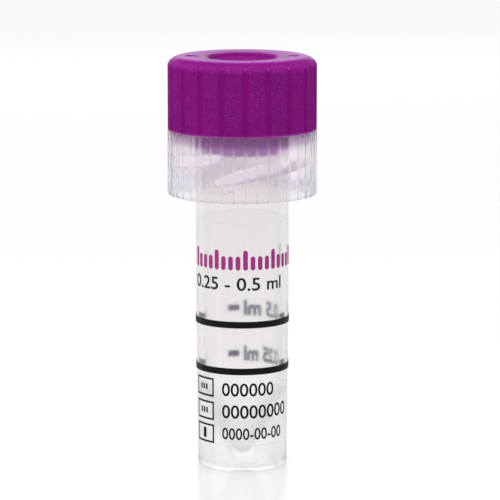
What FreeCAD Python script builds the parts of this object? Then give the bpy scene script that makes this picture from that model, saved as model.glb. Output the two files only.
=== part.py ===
import FreeCAD, Part
import math
import os
import re
import Sketcher

# Micro blood collection tube with a quick-turn cap, in millimetres, +Z up.
# The origin is the middle of the ring that the tube stands on.
# The front of the label looks along -Y. Angles are degrees, counter-clockwise
# as seen from above: from +X on the tube and the cap, from the front on the label.
#
# Pieces: the moulded tube, a clear label with two printed fill lines, and a
# cap of three pieces: a coloured shell, a clear skirt and a rubber stopper.
# A third of a turn runs the skirt's lugs out from under the tube's ramps.

SIZES = {
    # tube
    "tube_radius": 4.86,        # outside of the straight part, under the label's upper half
    "foot_radius": 4.70,        # outside at the floor, where the draft ends
    "draft_top": 17.5,          # height at which the foot's draft starts
    "neck_low": 27.0,           # height at which the neck's draft starts
    "neck_flare": 0.04,         # by which the mouth is wider than the straight part
    "tube_wall": 0.83,
    "rim_height": 40.0,         # height of the mouth
    "mouth_bevel": 0.35,        # lead-in at the mouth
    "cone_top": 8.35,           # height at which the bore turns into the cone
    "cone_tip_radius": 0.5,     # blunt inner tip of the cone
    "cone_tip_height": 1.5,     # height of the inner tip
    "tip_wall": 0.8,
    "foot_wall": 1.2,           # wall of the hollow standing ring
    "foot_edge": 0.4,           # rounding of the foot's outer edge
    "foot_lip": 0.3,            # rounding of the foot's inner edge
    # ramps on the neck, one for each third of a turn
    "ramp_count": 3,
    "ramp_start": 5.0,          # angle of the first ramp's low end
    "ramp_drop": 9.5,           # from the rim down to a ramp's low end
    "ramp_thick": 1.15,
    "ramp_bevel": 0.5,          # lead-in under each ramp's high end
    "ramp_lead": 6.9,           # rise in a whole turn
    "ramp_gap": 0.15,           # between a ramp and the inside of the skirt
    # stopper
    "plug_gap": 0.05,           # between the plug and the bore
    "plug_depth": 6.6,
    "plug_taper": 0.5,
    "seat_gap": 0.05,           # between the flange and the rim
    "flange_gap": 0.3,          # between the flange and the sleeve round it
    "flange_thick": 1.2,
    "hub_gap": 0.1,             # between the hub and the hole through the cap
    "hub_drop": 0.4,            # from the cap's top down to the hub's edge
    "dish_depth": 0.7,          # from the hub's edge down to its middle
    "membrane": 0.9,
    "pocket_radius": 2.6,       # hollow below the membrane
    "cross_cut": 3.2,           # length of each of the two crossing slits
    "slit_width": 0.08,
    # skirt
    "turn_gap": 0.1,            # between the stopper's flange and the skirt's plate
    "plate_thick": 1.0,
    "plate_hole": 3.9,
    "sleeve_wall": 0.8,
    "skirt_step": 0.04,         # by which the skirt stands out past the shell
    "skirt_wall": 0.7,
    "skirt_length": 6.8,        # the part that shows below the shell
    "step_thick": 1.1,          # ring that joins the sleeve and the skirt
    "step_slope": 1.5,          # height over which the inside narrows above that ring's foot
    "skirt_edge": 0.2,
    "flute_count": 40,
    "flute_radius": 0.28,
    "flute_depth": 0.17,
    "flute_phase": 2.5,
    # lugs inside the skirt
    "lug_arc": 18.0,
    "lug_thick": 0.75,
    "lug_reach": 0.85,          # from the inside of the skirt inwards
    "lug_gap": 0.1,             # between a lug and the ramp above it
    # shell
    "shell_radius": 7.8,
    "shell_wall": 0.8,
    "shell_height": 7.7,
    "shell_top": 1.05,
    "shell_corner": 1.15,
    "shell_gap": 0.05,          # between the shell and the sleeve
    "shell_edge": 0.12,
    "top_hole": 3.5,
    "hole_edge": 0.45,
    "groove_count": 20,
    "groove_radius": 0.45,
    "groove_depth": 0.16,
    "groove_stop": 0.72,        # from the cap's top down to the grooves' ends
    "dimple_radius": 0.7,
    "dimple_depth": 0.12,
    "dimple_inset": 2.55,       # from the shell's outside in to a dimple's middle
    # label and its printed lines
    "label_thick": 0.055,
    "label_glue": 0.01,
    "label_low": 2.8,
    "label_high": 26.4,
    "label_seam": -145.0,       # angle of the seam from the front, seen from above
    "seam_width": 4.0,          # degrees left open at the seam
    "ink_thick": 0.02,
    "line_width": 0.7,
    "line_start": -108.0,       # the lines' ends, in degrees from the front
    "line_end": 98.0,
    "upper_line_height": 15.37, # lower edge of the upper fill line
    "lower_line_height": 10.4,
    # heights and radii that several pieces share
    "bore_radius": "=tube_radius - tube_wall",
    "cone_slope": "=atan((bore_radius - cone_tip_radius) / (cone_top - cone_tip_height))",
    "cone_drop": "=tube_wall / sin(cone_slope)",
    "foot_bore": "=foot_radius - foot_wall",
    "draft": "=(tube_radius - foot_radius) / draft_top",
    "neck_radius": "=tube_radius + neck_flare",
    "neck_draft": "=neck_flare / (rim_height - neck_low)",
    "skirt_radius": "=shell_radius + skirt_step",
    "skirt_bore": "=skirt_radius - skirt_wall",
    "ramp_radius": "=skirt_bore - ramp_gap",
    "ramp_low": "=rim_height - ramp_drop",
    "ramp_arc": "=360 / ramp_count",
    "flange_low": "=rim_height + seat_gap",
    "flange_high": "=flange_low + flange_thick",
    "plate_low": "=flange_high + turn_gap",
    "plate_high": "=plate_low + plate_thick",
    "cap_top": "=plate_high + shell_top",
    "shell_low": "=cap_top - shell_height",
    "skirt_low": "=shell_low - skirt_length",
    "hub_radius": "=top_hole - hub_gap",
    "hub_high": "=cap_top - hub_drop",
    "plug_radius": "=bore_radius - plug_gap",
    "plug_low": "=rim_height - plug_depth",
    "sleeve_radius": "=shell_radius - shell_wall - shell_gap",
    "sleeve_bore": "=sleeve_radius - sleeve_wall",
    "flange_radius": "=sleeve_bore - flange_gap",
    "dimple_circle": "=shell_radius - dimple_inset",
    "label_bore": "=tube_radius + label_glue",
    "ink_bore": "=label_bore + label_thick",
}

PREFIX = {name: f"sizes.{name}" for name in SIZES}
AXIS_Z = FreeCAD.Vector(0, 0, 1)


def make_sheet(doc):
    """Write every size into one spreadsheet, one row each, under its own name."""
    sheet = doc.addObject("Spreadsheet::Sheet", "sizes")
    for row, (name, value) in enumerate(SIZES.items(), start=1):
        sheet.set(f"A{row}", name)
        sheet.set(f"B{row}", str(value))
        sheet.setAlias(f"B{row}", name)
    doc.recompute()
    return sheet


def bound(text):
    """Point the size names in an expression at the spreadsheet."""
    return re.sub(r"[a-z_]+", lambda word: PREFIX.get(word[0], word[0]), text)


def new_body(doc, label):
    body = doc.addObject("PartDesign::Body", label)
    body.Label = label
    return body


def new_sketch(body, name, plane, height=None, turn=None):
    """A sketch on one of the body's own origin planes, lifted or turned if asked."""
    sketch = body.newObject("Sketcher::SketchObject", name)
    support = next(f for f in body.Origin.OriginFeatures if f.Role == plane)
    sketch.AttachmentSupport = (support, [""])
    sketch.MapMode = "FlatFace"
    if height is not None:
        sketch.setExpression("AttachmentOffset.Base.z", bound(height))
    if turn is not None:
        upright = FreeCAD.Rotation(FreeCAD.Vector(0, 1, 0), 1)
        sketch.AttachmentOffset = FreeCAD.Placement(FreeCAD.Vector(), upright)
        sketch.setExpression("AttachmentOffset.Rotation.Angle", bound(turn))
    return sketch


def fix_coordinate(sketch, kind, edge, point, expression):
    """Tie one coordinate of a sketch point to an expression of the sizes."""
    axis = {"DistanceX": -2, "DistanceY": -1}[kind]
    if expression == "0":
        sketch.addConstraint(Sketcher.Constraint("PointOnObject", edge, point, axis))
        return
    start = sketch.getPoint(edge, point)
    value = start.x if kind == "DistanceX" else start.y
    index = sketch.addConstraint(Sketcher.Constraint(kind, -1, 1, edge, point, value))
    sketch.setExpression(f"Constraints[{index}]", bound(expression))


def worked_out(doc, expression):
    """The number that an expression gives with the sizes as they are."""
    value = doc.getObject("sizes").evalExpression(expression)
    return float(getattr(value, "Value", value))


def draw_outline(sketch, corners):
    """Close a ring of straight edges and arcs through the corners.

    A corner is (across, up) or, where an arc starts, (across, up, centre across,
    centre up, "cw" or "ccw"). Each entry is an expression of the sizes.
    """
    doc = sketch.Document
    spots = [
        FreeCAD.Vector(worked_out(doc, corner[0]), worked_out(doc, corner[1]), 0)
        for corner in corners
    ]
    count = len(corners)
    ends = []
    for index, corner in enumerate(corners):
        start = spots[index]
        finish = spots[(index + 1) % count]
        if len(corner) == 2:
            edge = sketch.addGeometry(Part.LineSegment(start, finish))
            ends.append((edge, 1, 2))
            continue
        centre = FreeCAD.Vector(worked_out(doc, corner[2]), worked_out(doc, corner[3]), 0)
        clockwise = corner[4] == "cw"
        first, last = (finish, start) if clockwise else (start, finish)
        angles = [math.atan2(p.y - centre.y, p.x - centre.x) for p in (first, last)]
        circle = Part.Circle(centre, AXIS_Z, (start - centre).Length)
        edge = sketch.addGeometry(Part.ArcOfCircle(circle, angles[0], angles[1]))
        ends.append((edge, 2, 1) if clockwise else (edge, 1, 2))
    for index in range(count):
        edge, _, finish = ends[index]
        following, start, _ = ends[(index + 1) % count]
        sketch.addConstraint(Sketcher.Constraint("Coincident", edge, finish, following, start))
    for index, corner in enumerate(corners):
        edge, start, _ = ends[index]
        fix_coordinate(sketch, "DistanceX", edge, start, corner[0])
        fix_coordinate(sketch, "DistanceY", edge, start, corner[1])
        if len(corner) > 2:
            fix_coordinate(sketch, "DistanceX", edge, 3, corner[2])


def draw_circle(sketch, across, up, radius):
    doc = sketch.Document
    centre = FreeCAD.Vector(worked_out(doc, across), worked_out(doc, up), 0)
    circle = Part.Circle(centre, AXIS_Z, worked_out(doc, radius))
    edge = sketch.addGeometry(circle)
    size = Sketcher.Constraint("Radius", edge, worked_out(doc, radius))
    index = sketch.addConstraint(size)
    sketch.setExpression(f"Constraints[{index}]", bound(radius))
    fix_coordinate(sketch, "DistanceX", edge, 3, across)
    fix_coordinate(sketch, "DistanceY", edge, 3, up)


def revolve(body, name, corners, sweep=None):
    """Turn an outline in the XZ plane about the upright axis."""
    sketch = new_sketch(body, name + "_section", "XZ_Plane")
    draw_outline(sketch, corners)
    sketch.Visibility = False
    turned = body.newObject("PartDesign::Revolution", name)
    turned.Profile = sketch
    turned.ReferenceAxis = (sketch, ["V_Axis"])
    turned.Angle = 360
    if sweep is not None:
        turned.setExpression("Angle", bound(sweep))
    body.Document.recompute()
    return turned


def add_helical(body, name, corners, start, sweep):
    """Sweep a section up the thread's helix."""
    sketch = new_sketch(body, name + "_section", "XZ_Plane", turn=start)
    draw_outline(sketch, corners)
    before = body.Shape.Volume
    ridge = body.newObject("PartDesign::AdditiveHelix", name)
    ridge.Profile = sketch
    ridge.ReferenceAxis = (sketch, ["V_Axis"])
    ridge.Mode = 0
    ridge.Pitch = SIZES["ramp_lead"]
    ridge.Height = SIZES["ramp_lead"] / SIZES["ramp_count"]
    ridge.setExpression("Pitch", bound("ramp_lead"))
    ridge.setExpression("Height", bound(f"ramp_lead * {sweep} / 360"))
    ridge.LeftHanded = False
    ridge.Reversed = False
    body.Document.recompute()
    if body.Shape.Volume <= before:
        raise RuntimeError(f"{name} added nothing")
    return ridge


def repeat(body, name, features, copies, sweep=360):
    """Copy features evenly round the upright axis."""
    pattern = body.newObject("PartDesign::PolarPattern", name)
    pattern.Originals = features
    upright = next(f for f in body.Origin.OriginFeatures if f.Role == "Z_Axis")
    pattern.Axis = (upright, [""])
    pattern.Angle = sweep
    pattern.Occurrences = 2
    pattern.setExpression("Occurrences", bound(copies))
    body.Tip = pattern
    body.Document.recompute()
    return pattern


def cut(body, name, sketch, depth):
    """Cut a sketch's outline forwards from its plane, and check that it cut."""
    before = body.Shape.Volume
    pocket = body.newObject("PartDesign::Pocket", name)
    pocket.Profile = sketch
    pocket.Type = "Length"
    pocket.Reversed = True
    pocket.Length = 1
    pocket.setExpression("Length", bound(depth))
    body.Document.recompute()
    if body.Shape.Volume >= before:
        raise RuntimeError(f"{name} cut nothing")
    return pocket


def tube_outside(height):
    """Radius of the tube's outside at a height within the draft."""
    return f"foot_radius + draft * ({height})"


def build_tube(doc):
    """One moulding: bore, inner cone, standing ring, and the ramps on its neck."""
    body = new_body(doc, "tube")
    outer_tip_radius = "cone_tip_radius + (cone_drop - tip_wall) * tan(cone_slope)"
    cone_meets_foot = "cone_top - (bore_radius - foot_bore) / tan(cone_slope) - cone_drop"
    revolve(body, "vessel", [
        ("foot_bore", "foot_lip", "foot_bore + foot_lip", "foot_lip", "ccw"),
        ("foot_bore + foot_lip", "0"),
        ("foot_radius - foot_edge", "0", "foot_radius - foot_edge", "foot_edge", "ccw"),
        (tube_outside("foot_edge"), "foot_edge"),
        ("tube_radius", "draft_top"),
        ("tube_radius", "neck_low"),
        ("neck_radius", "rim_height"),
        ("bore_radius + mouth_bevel", "rim_height"),
        ("bore_radius", "rim_height - mouth_bevel"),
        ("bore_radius", "cone_top"),
        ("cone_tip_radius", "cone_tip_height"),
        ("0", "cone_tip_height"),
        ("0", "cone_tip_height - tip_wall"),
        (outer_tip_radius, "cone_tip_height - tip_wall"),
        ("foot_bore", cone_meets_foot),
    ])
    root = "tube_radius - tube_wall / 2"
    ridge = add_helical(body, "ramp", [
        (root, "ramp_low"),
        ("ramp_radius", "ramp_low"),
        ("ramp_radius", "ramp_low + ramp_thick"),
        (root, "ramp_low + ramp_thick"),
    ], "ramp_start", "ramp_arc")
    # The lead-in is a wedge cut outwards from the neck, under the ramp's high end.
    end_angle = "(ramp_start + ramp_arc)"
    underside = "ramp_low + ramp_lead / ramp_count"
    neck = f"(tube_radius + neck_draft * ({underside} - neck_low))"
    wedge = new_sketch(body, "lead_in_face", "YZ_Plane", turn=end_angle)
    wedge.setExpression("AttachmentOffset.Base.x", bound(f"{neck} * sin{end_angle}"))
    wedge.setExpression("AttachmentOffset.Base.z", bound(f"{neck} * cos{end_angle}"))
    draw_outline(wedge, [
        ("-2 * ramp_bevel", underside + " - ramp_bevel"),
        ("ramp_bevel", underside + " - ramp_bevel"),
        ("ramp_bevel", underside + " + 2 * ramp_bevel"),
    ])
    lead_in = cut(body, "lead_in", wedge, "ramp_radius - tube_radius + ramp_gap")
    repeat(body, "ramps", [ridge, lead_in], "ramp_count")
    return body


def build_stopper(doc):
    """Rubber stopper: plug, flange, and a hub closed by a slit membrane."""
    body = new_body(doc, "stopper")
    ceiling = "hub_high - dish_depth - membrane"
    revolve(body, "bung", [
        ("pocket_radius", "plug_low"),
        ("plug_radius - plug_taper / 2", "plug_low"),
        ("plug_radius", "plug_low + plug_taper"),
        ("plug_radius", "flange_low"),
        ("flange_radius", "flange_low"),
        ("flange_radius", "flange_high"),
        ("hub_radius", "flange_high"),
        ("hub_radius", "hub_high"),
        ("0", "hub_high - dish_depth"),
        ("0", ceiling),
        ("pocket_radius", ceiling),
    ])
    slits = new_sketch(body, "slit_plan", "XY_Plane", height=ceiling)
    draw_outline(slits, [
        ("-cross_cut / 2", "-slit_width / 2"),
        ("cross_cut / 2", "-slit_width / 2"),
        ("cross_cut / 2", "slit_width / 2"),
        ("-cross_cut / 2", "slit_width / 2"),
    ])
    slit = cut(body, "slit", slits, "membrane + dish_depth")
    repeat(body, "cross", [slit], "2", sweep=90)
    return body


def build_skirt(doc):
    """Clear skirt with its flutes and lugs, and the sleeve that carries the shell."""
    body = new_body(doc, "cap_skirt")
    step_low = "shell_low - step_thick"
    revolve(body, "ring", [
        ("skirt_bore", "skirt_low"),
        ("skirt_radius - skirt_edge", "skirt_low",
         "skirt_radius - skirt_edge", "skirt_low + skirt_edge", "ccw"),
        ("skirt_radius", "skirt_low + skirt_edge"),
        ("skirt_radius", "shell_low"),
        ("sleeve_radius", "shell_low"),
        ("sleeve_radius", "plate_high"),
        ("plate_hole", "plate_high"),
        ("plate_hole", "plate_low"),
        ("sleeve_bore", "plate_low"),
        ("sleeve_bore", step_low + " + step_slope"),
        ("skirt_bore", step_low),
    ])
    lug_root = "skirt_bore + skirt_wall / 2"
    lug_high = "ramp_low - lug_gap"
    lug = add_helical(body, "lug", [
        ("skirt_bore - lug_reach", lug_high + " - lug_thick"),
        (lug_root, lug_high + " - lug_thick"),
        (lug_root, lug_high),
        ("skirt_bore - lug_reach", lug_high),
    ], "ramp_start", "lug_arc")
    repeat(body, "lugs", [lug], "ramp_count")
    flutes = new_sketch(body, "flute_plan", "XY_Plane", height="skirt_low - skirt_edge")
    reach = "(skirt_radius + flute_radius - flute_depth)"
    draw_circle(flutes, reach + " * cos(flute_phase)", reach + " * sin(flute_phase)", "flute_radius")
    flute = cut(body, "flute", flutes, "skirt_length + 2 * skirt_edge")
    repeat(body, "flutes", [flute], "flute_count")
    return body


def build_shell(doc):
    """Coloured shell: a fluted cup with a round hole through its top."""
    body = new_body(doc, "cap_shell")
    inside = "shell_radius - shell_wall"
    corner_centre = "shell_radius - shell_corner"
    revolve(body, "cup", [
        (inside, "shell_low"),
        ("shell_radius - shell_edge", "shell_low"),
        ("shell_radius", "shell_low + shell_edge"),
        ("shell_radius", "cap_top - shell_corner", corner_centre, "cap_top - shell_corner", "ccw"),
        (corner_centre, "cap_top"),
        ("top_hole + hole_edge", "cap_top", "top_hole + hole_edge", "cap_top - hole_edge", "ccw"),
        ("top_hole", "cap_top - hole_edge"),
        ("top_hole", "plate_high"),
        (inside, "plate_high"),
    ])
    grooves = new_sketch(body, "groove_plan", "XY_Plane", height="shell_low - shell_edge")
    reach = "(shell_radius + groove_radius - groove_depth)"
    draw_circle(grooves, reach + " * cos(flute_phase)", reach + " * sin(flute_phase)",
                "groove_radius")
    groove = cut(body, "groove", grooves, "shell_height + shell_edge - groove_stop")
    repeat(body, "grooves", [groove], "groove_count")
    dimples = new_sketch(body, "dimple_plan", "XY_Plane", height="cap_top - dimple_depth")
    draw_circle(dimples, "dimple_circle", "0", "dimple_radius")
    draw_circle(dimples, "-dimple_circle", "0", "dimple_radius")
    cut(body, "dimples", dimples, "2 * dimple_depth")
    return body


def turned_from_front(body, angle):
    """Turn a partly swept body so that it starts at an angle from the front."""
    body.Placement = FreeCAD.Placement(FreeCAD.Vector(), FreeCAD.Rotation(AXIS_Z, 1))
    body.setExpression("Placement.Rotation.Angle", bound(f"{angle} - 90"))


def build_label(doc):
    """Clear label wrapped once round the tube, with a narrow open seam."""
    body = new_body(doc, "label_film")
    inner_low = tube_outside("label_low") + " + label_glue"
    revolve(body, "film", [
        (inner_low, "label_low"),
        (inner_low + " + label_thick", "label_low"),
        ("ink_bore", "draft_top"),
        ("ink_bore", "label_high"),
        ("label_bore", "label_high"),
        ("label_bore", "draft_top"),
    ], "360 - seam_width")
    turned_from_front(body, "label_seam + seam_width / 2")
    return body


def build_line(doc, label, low):
    """One printed fill line on the label, from line_start round to line_end."""
    body = new_body(doc, label)
    high = f"{low} + line_width"
    inner_low = tube_outside(low) + " + label_glue + label_thick"
    inner_high = tube_outside(high) + " + label_glue + label_thick"
    revolve(body, label + "_ink", [
        (inner_low, low),
        (inner_low + " + ink_thick", low),
        (inner_high + " + ink_thick", high),
        (inner_high, high),
    ], "line_end - line_start")
    turned_from_front(body, "line_start")
    return body


def check(doc, bodies):
    """Stop if anything in the document failed or a body is not one sound solid."""
    for item in doc.Objects:
        if {"Invalid", "Error"} & set(item.State):
            raise RuntimeError(f"{item.Name} failed: {item.State}")
    for body in bodies:
        shape = body.Shape
        if shape.isNull() or not shape.isValid() or len(shape.Solids) != 1:
            raise RuntimeError(f"{body.Label} is not one valid solid")


def main():
    os.makedirs("parts", exist_ok=True)
    doc = FreeCAD.newDocument("collection_tube")
    make_sheet(doc)
    bodies = [
        build_tube(doc),
        build_stopper(doc),
        build_skirt(doc),
        build_shell(doc),
        build_label(doc),
        build_line(doc, "fill_line_upper", "upper_line_height"),
        build_line(doc, "fill_line_lower", "lower_line_height"),
    ]
    doc.recompute()
    check(doc, bodies)
    for body in bodies:
        body.Shape.exportStep(f"parts/{body.Label}.step")
        box = body.Shape.BoundBox
        print(f"{body.Label}: {body.Shape.Volume:.2f} mm3, z {box.ZMin:.2f} to {box.ZMax:.2f}, "
              f"x {box.XMin:.2f} to {box.XMax:.2f}, y {box.YMin:.2f} to {box.YMax:.2f}")


main()
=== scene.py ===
# %% [markdown]
# # A micro blood collection tube
#
# The object is a small moulded tube with a conical inner bottom, a clear label wrapped
# round it, and a purple cap with a clear fluted skirt. Its looks come from light that
# passes through four thin walls, so nearly every lesson here is about clear plastic.
#
# We start from a fixed frame: the finished construction, packed as a model. We never
# move it. Where a surface needs a finer mesh for clean refraction, we build a new piece
# in the same place and say which part of the frame it stands for.

# %% Load the frame
import math

import bmesh
import bpy
import numpy as np
from mathutils import Matrix, Vector


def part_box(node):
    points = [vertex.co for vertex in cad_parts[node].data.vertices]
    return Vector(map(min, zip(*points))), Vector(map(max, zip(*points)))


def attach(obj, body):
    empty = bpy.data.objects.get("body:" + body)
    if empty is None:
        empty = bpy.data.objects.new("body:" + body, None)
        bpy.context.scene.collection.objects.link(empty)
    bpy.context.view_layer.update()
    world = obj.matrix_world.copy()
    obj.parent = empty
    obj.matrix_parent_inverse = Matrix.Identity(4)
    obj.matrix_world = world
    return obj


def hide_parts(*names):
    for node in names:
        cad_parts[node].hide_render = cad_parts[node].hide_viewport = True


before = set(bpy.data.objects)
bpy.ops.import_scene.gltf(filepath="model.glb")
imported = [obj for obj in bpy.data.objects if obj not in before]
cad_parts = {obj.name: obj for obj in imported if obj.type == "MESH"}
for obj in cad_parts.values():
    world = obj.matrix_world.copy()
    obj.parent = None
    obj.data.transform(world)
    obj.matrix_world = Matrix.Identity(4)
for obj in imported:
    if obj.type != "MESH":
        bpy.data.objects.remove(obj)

MM = 0.001
scene = bpy.context.scene
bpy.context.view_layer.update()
print("pieces in the frame:", sorted(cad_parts))

# %% [markdown]
# ## The camera
#
# We look from a little above at the front of the label. A long lens far away keeps the
# upright lines parallel, the way small products are usually shown. A distance and a pitch
# place the camera, because those two numbers are easy to reason about.

# %% Place the camera
CAMERA_DISTANCE = 345 * MM
CAMERA_PITCH = math.radians(9.55)
AIM_HEIGHT = 22.85 * MM
AIM_ASIDE = 0.81 * MM
LENS_MM = 236

camera_data = bpy.data.cameras.new("camera")
camera_data.lens = LENS_MM
camera_data.sensor_width = 36
camera_data.clip_start = 0.01
camera = bpy.data.objects.new("camera", camera_data)
scene.collection.objects.link(camera)
camera.location = (
    AIM_ASIDE,
    -CAMERA_DISTANCE * math.cos(CAMERA_PITCH),
    AIM_HEIGHT + CAMERA_DISTANCE * math.sin(CAMERA_PITCH),
)
camera.rotation_euler = (math.pi / 2 - CAMERA_PITCH, 0, 0)
scene.camera = camera
scene.view_settings.view_transform = "Standard"
print("camera", [round(v, 4) for v in camera.location])

# %% [markdown]
# ## Light
#
# Clear plastic has almost no colour of its own: it shows what stands behind it. So the
# surroundings are plain white, as in a light tent. Three weak lamps add a little
# direction: a strip beside the tube draws a soft bright line down it, one behind and
# above picks out the rim of the cap, and one over the left shoulder brightens the top.

# %% Light the world
world = bpy.data.worlds.new("studio")
scene.world = world
world.use_nodes = True
background = world.node_tree.nodes["Background"]
background.inputs["Color"].default_value = (1, 1, 1, 1)
background.inputs["Strength"].default_value = 1.0
print("world strength:", background.inputs["Strength"].default_value)

# %% [markdown]
# A ray that enters clear plastic may bounce inside a wall a dozen times before it leaves.
# If it is cut off early it counts as black, and the plastic turns grey. So we let rays
# bounce for longer than usual.

# %% Let rays bounce inside the walls
scene.cycles.max_bounces = 40
scene.cycles.diffuse_bounces = 12
scene.cycles.glossy_bounces = 32
scene.cycles.transmission_bounces = 40
scene.cycles.transparent_max_bounces = 64
print("bounces:", scene.cycles.max_bounces)


# %% Add the lamps
def soft_lamp(name, place, wide, high, glow):
    """A lit panel that faces the object. A glow of 1 looks as bright as the surroundings."""
    data = bpy.data.lights.new(name, "AREA")
    data.shape = "RECTANGLE"
    data.size = wide
    data.size_y = high
    data.energy = math.pi * wide * high * glow
    lamp = bpy.data.objects.new(name, data)
    lamp.location = place
    aim = Vector((0, 0, AIM_HEIGHT)) - lamp.location
    lamp.rotation_euler = aim.to_track_quat("-Z", "Y").to_euler()
    scene.collection.objects.link(lamp)
    return lamp


soft_lamp("side_strip", (-0.39, -0.07, 0.05), wide=0.05, high=0.35, glow=3.0)
soft_lamp("rim_panel", (-0.05, 0.42, 0.12), wide=0.40, high=0.06, glow=1.5)
soft_lamp("top_panel", (-0.16, -0.22, 0.36), wide=0.22, high=0.22, glow=1.2)

# %% [markdown]
# ## Small node tools
#
# A material is a little graph. One helper starts a material with its Principled shader,
# one adds a node, and both take values for the sockets by name, either plain ones or
# sockets of other nodes. The rest are small sums that several materials need.


# %% Node helpers
def plug(tree, socket, value):
    """Give a socket a plain value, or a link where the value is another socket."""
    if isinstance(value, bpy.types.NodeSocket):
        tree.links.new(value, socket)
    else:
        socket.default_value = value


def feed(tree, node, **values):
    """Fill a node's sockets by name, with _ for a space."""
    for key, value in values.items():
        plug(tree, node.inputs[key.replace("_", " ")], value)
    return node


def add_node(tree, kind, settings=None, **values):
    """A shader node with its settings and its socket values."""
    node = tree.nodes.new("ShaderNode" + kind)
    for key, value in (settings or {}).items():
        setattr(node, key, value)
    return feed(tree, node, **values)


def new_material(name, **values):
    """A material and its Principled shader, with plain values set on the shader."""
    material = bpy.data.materials.new(name)
    material.use_nodes = True
    tree = material.node_tree
    print("material:", name)
    return material, tree, feed(tree, tree.nodes["Principled BSDF"], **values)


# %% Sums between sockets
def combine(tree, operation, first, second):
    """One step of arithmetic between two values, each a socket or a number."""
    step = add_node(tree, "Math", {"operation": operation})
    plug(tree, step.inputs[0], first)
    plug(tree, step.inputs[1], second)
    return step.outputs[0]


def mix_colours(tree, factor, first, second, blend="MIX"):
    """Go from the first colour to the second as the factor goes from 0 to 1."""
    kind = {"data_type": "RGBA", "blend_type": blend}
    return add_node(tree, "Mix", kind, Factor=factor, A=first, B=second).outputs["Result"]


def graded(tree, value, curve="LINEAR", **limits):
    """Take a value from one range to another. Each limit is a number or a socket."""
    kind = {"interpolation_type": curve}
    return add_node(tree, "MapRange", kind, Value=value, **limits).outputs["Result"]


def axes(tree, coordinate):
    """The X, Y and Z of one of the object's own coordinates, such as its normal."""
    place = add_node(tree, "TexCoord").outputs[coordinate]
    return add_node(tree, "SeparateXYZ", Vector=place).outputs


def stored(tree, label):
    """A value that the mesh carries for each of its points."""
    return add_node(tree, "Attribute", {"attribute_name": label}).outputs["Fac"]


def add_bump(tree, shader, height, distance):
    """Let a height feed the shader's normal. Distance is in metres."""
    bump = add_node(tree, "Bump", Strength=1.0, Distance=distance, Height=height)
    feed(tree, shader, Normal=bump.outputs["Normal"])


# %% [markdown]
# ## Effects that several materials share
#
# - **Moulded grain** is the fine pebbled texture that a spark-eroded mould leaves. It
#   gives a height for a bump and a mask of its bright tips.
# - **Flow** is the slow, cloudy change of a thin moulding whose wall cooled unevenly. It
#   gives a value between two limits, for roughness or for a tint.
# - **Ripple** is the long, shallow waviness of film and of thin clear walls. It gives a
#   height for a bump, stretched along the tube.
# - **Rise** goes from 0 to 1 between two heights, so that one moulding can have two
#   finishes, such as a polished crown, with a soft change between them.
# - **Flecks** are sparse round dots, such as dust or tiny bubbles under film. They are
#   the middles of the cells of a Voronoi pattern, so they never line up.
#
# Each is a node group, built once. A material places it and gives it its own values.


# %% Group helpers
def new_group(name, outputs, **inputs):
    """An empty group of number sockets, and its inner ends. Inputs have defaults."""
    group = bpy.data.node_groups.new(name, "ShaderNodeTree")
    kind = "NodeSocketFloat"
    for label, default in inputs.items():
        socket = group.interface.new_socket(label, in_out="INPUT", socket_type=kind)
        socket.default_value = default
    for label in outputs:
        group.interface.new_socket(label, in_out="OUTPUT", socket_type=kind)
    print("shared effect:", name)
    given = group.nodes.new("NodeGroupInput").outputs
    return group, given, group.nodes.new("NodeGroupOutput")


def use_group(tree, group, **values):
    """Place a shared effect in a material, with this material's own values."""
    node = tree.nodes.new("ShaderNodeGroup")
    node.node_tree = group
    return feed(tree, node, **values)


def pattern(tree, kind, size, place=None, **values):
    """A procedural pattern over the object, with features of a given size in metres."""
    if place is None:
        place = add_node(tree, "TexCoord").outputs["Object"]
    scale = combine(tree, "DIVIDE", 1.0, size)
    return add_node(tree, kind, Vector=place, Scale=scale, **values)


# %% Moulded grain
grain_group, given, end = new_group(
    "moulded_grain", ("Height", "Tips"), Size=0.12 * MM, Contrast=0.5)
noise = pattern(grain_group, "TexNoise", given["Size"], Detail=2.0, Roughness=0.55)
bumps = noise.outputs["Fac"]
feed(grain_group, end,
     Tips=graded(grain_group, bumps, "SMOOTHSTEP", From_Min=0.50, From_Max=0.72),
     Height=combine(grain_group, "MULTIPLY", bumps, given["Contrast"]))

# %% Flow
flow_group, given, end = new_group("flow", ("Value",), Size=4 * MM, Low=0.0, High=1.0)
noise = pattern(flow_group, "TexNoise", given["Size"], Detail=3.0, Roughness=0.5)
drift = graded(flow_group, noise.outputs["Fac"], From_Min=0.3, From_Max=0.7,
               To_Min=given["Low"], To_Max=given["High"])
feed(flow_group, end, Value=drift)

# %% Ripple
ripple_group, given, end = new_group("ripple", ("Height",), Size=2 * MM, Stretch=4.0)
spot = axes(ripple_group, "Object")
lowered = combine(ripple_group, "DIVIDE", spot["Z"], given["Stretch"])
squeezed = add_node(ripple_group, "CombineXYZ", X=spot["X"], Y=spot["Y"], Z=lowered)
noise = pattern(ripple_group, "TexNoise", given["Size"], squeezed.outputs[0],
                Detail=1.0, Roughness=0.4)
feed(ripple_group, end, Height=noise.outputs["Fac"])

# %% Rise
rise_group, given, end = new_group("rise", ("Share",), Low=0.0, High=1 * MM)
share = graded(rise_group, axes(rise_group, "Object")["Z"], "SMOOTHSTEP",
               From_Min=given["Low"], From_Max=given["High"])
feed(rise_group, end, Share=share)

# %% Flecks
flecks_group, given, end = new_group(
    "flecks", ("Mask",), Spacing=1 * MM, Radius=0.06 * MM)
cells = pattern(flecks_group, "TexVoronoi", given["Spacing"])
reach = combine(flecks_group, "MULTIPLY", cells.outputs["Distance"], given["Spacing"])
feed(flecks_group, end, Mask=combine(flecks_group, "LESS_THAN", reach, given["Radius"]))


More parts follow.
